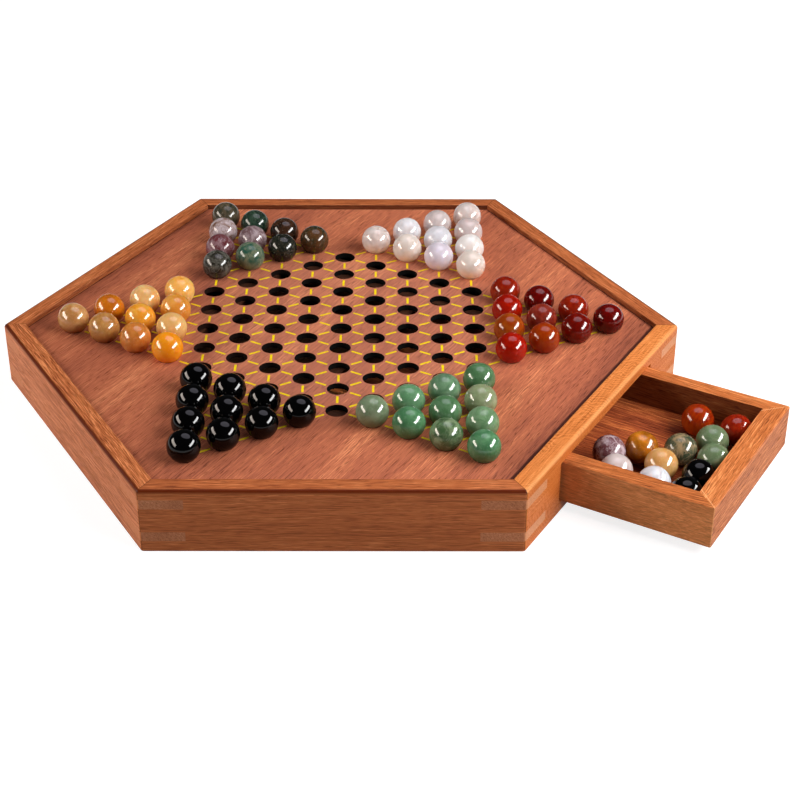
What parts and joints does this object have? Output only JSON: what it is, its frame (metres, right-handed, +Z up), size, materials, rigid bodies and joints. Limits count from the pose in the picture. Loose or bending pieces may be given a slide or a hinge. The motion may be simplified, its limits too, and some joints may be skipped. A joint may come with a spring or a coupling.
{
  "type": "chinese checkers set",
  "caption": "Hexagonal wooden game box with a drilled star board on top, stone marbles on their holes and a drawer below that slides out with spare marbles.",
  "frame": {"origin": "centre of the box's flat underside, on the table", "axes": "+Z up, -Y the way the drawer slides out, +X towards the right-hand corner of the hexagon seen from the drawer side"},
  "size_m": [0.3494, 0.3779, 0.0449],
  "materials": {
    "rail_wood": "satin",
    "key_wood": "satin",
    "board_wood": "satin",
    "drawer_wood": "satin",
    "inner_wood": "matte",
    "red_stone": "polished",
    "white_stone": "polished",
    "moss_stone": "polished",
    "yellow_stone": "polished",
    "black_stone": "polished",
    "green_stone": "polished"
  },
  "bodies": {
    "box": {"front_rail": "rail_wood", "front_left_rail": "rail_wood", "front_right_rail": "rail_wood", "back_rail": "rail_wood", "back_left_rail": "rail_wood", "back_right_rail": "rail_wood", "right_corner_keys": "key_wood", "back_right_corner_keys": "key_wood", "back_left_corner_keys": "key_wood", "left_corner_keys": "key_wood", "front_left_corner_keys": "key_wood", "front_right_corner_keys": "key_wood", "playing_board": "board_wood", "bottom_panel": "inner_wood", "left_drawer_guide": "inner_wood", "right_drawer_guide": "inner_wood", "drawer_stop": "inner_wood"},
    "drawer": {"drawer_front": "drawer_wood", "drawer_back": "drawer_wood", "drawer_left_side": "drawer_wood", "drawer_right_side": "drawer_wood", "drawer_floor": "drawer_wood", "spare_red_marbles": "red_stone", "spare_white_marbles": "white_stone", "spare_moss_marbles": "moss_stone", "spare_yellow_marbles": "yellow_stone", "spare_black_marbles": "black_stone", "spare_green_marbles": "green_stone"},
    "red_set": {"red_marbles": "red_stone"},
    "white_set": {"white_marbles": "white_stone"},
    "moss_set": {"moss_marbles": "moss_stone"},
    "yellow_set": {"yellow_marbles": "yellow_stone"},
    "black_set": {"black_marbles": "black_stone"},
    "green_set": {"green_marbles": "green_stone"}
  },
  "joints": [
    {"name": "drawer_slide", "type": "slide", "parent": "box", "child": "drawer", "axis": [0, -1, 0], "range_m": [-0.0747, 0.105]},
    {"name": "red_lift", "type": "slide", "parent": "box", "child": "red_set", "axis": [0, 0, 1], "range_m": [0, 0.04]},
    {"name": "white_lift", "type": "slide", "parent": "box", "child": "white_set", "axis": [0, 0, 1], "range_m": [0, 0.04]},
    {"name": "moss_lift", "type": "slide", "parent": "box", "child": "moss_set", "axis": [0, 0, 1], "range_m": [0, 0.04]},
    {"name": "yellow_lift", "type": "slide", "parent": "box", "child": "yellow_set", "axis": [0, 0, 1], "range_m": [0, 0.04]},
    {"name": "black_lift", "type": "slide", "parent": "box", "child": "black_set", "axis": [0, 0, 1], "range_m": [0, 0.04]},
    {"name": "green_lift", "type": "slide", "parent": "box", "child": "green_set", "axis": [0, 0, 1], "range_m": [0, 0.04]}
  ]
}
